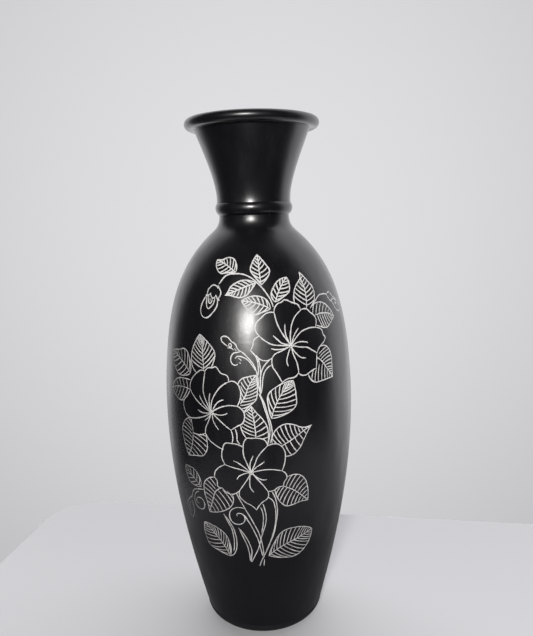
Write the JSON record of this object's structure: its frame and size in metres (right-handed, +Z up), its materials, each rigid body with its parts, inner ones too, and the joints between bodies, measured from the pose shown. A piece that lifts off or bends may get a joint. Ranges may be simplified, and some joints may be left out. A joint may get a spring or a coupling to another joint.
{
  "type": "vase",
  "caption": "Tall black burnished clay vase with a beaded collar, flared neck, rolled lip and pale powder-filled engraved flowers and leaves.",
  "frame": {"origin": "centre of the flat resting face under the foot", "axes": "+Z up the pot's axis; the engraved front looks towards -Y"},
  "size_m": [0.149, 0.1491, 0.4],
  "materials": {
    "burnished_clay": "burnished, soft sheen",
    "matt_clay": "matt, smoke-fired",
    "pale_powder": "matt, fine grained"
  },
  "bodies": {
    "root": {"base_disc": "matt_clay", "lower_wall": "burnished_clay", "upper_wall": "burnished_clay", "collar_bead": "burnished_clay", "neck": "burnished_clay", "lip_roll": "burnished_clay", "flower_upper": "pale_powder", "flower_left": "pale_powder", "flower_lower": "pale_powder", "leaf_crown_left": "pale_powder", "leaf_crown_top": "pale_powder", "leaf_crown_mid": "pale_powder", "leaf_crown_low": "pale_powder", "leaf_top_small": "pale_powder", "leaf_top_large": "pale_powder", "leaf_top_right": "pale_powder", "leaf_right_high": "pale_powder", "leaf_left_top": "pale_powder", "leaf_left_outer": "pale_powder", "leaf_left_mid": "pale_powder", "leaf_left_fold": "pale_powder", "leaf_mid_left": "pale_powder", "leaf_mid_centre": "pale_powder", "leaf_mid_right": "pale_powder", "leaf_mid_low": "pale_powder", "leaf_low_right": "pale_powder", "leaf_low_left": "pale_powder", "leaf_low_fold": "pale_powder", "leaf_base_left": "pale_powder", "leaf_base_right": "pale_powder", "bud_left": "pale_powder", "bud_right": "pale_powder", "bud_small": "pale_powder", "bud_faint": "pale_powder", "stem_crown": "pale_powder", "stem_upper": "pale_powder", "stem_middle": "pale_powder", "stem_lower": "pale_powder", "stem_base_left": "pale_powder", "tendril_upper": "pale_powder", "tendril_left": "pale_powder", "tendril_lower": "pale_powder"}
  },
  "joints": []
}
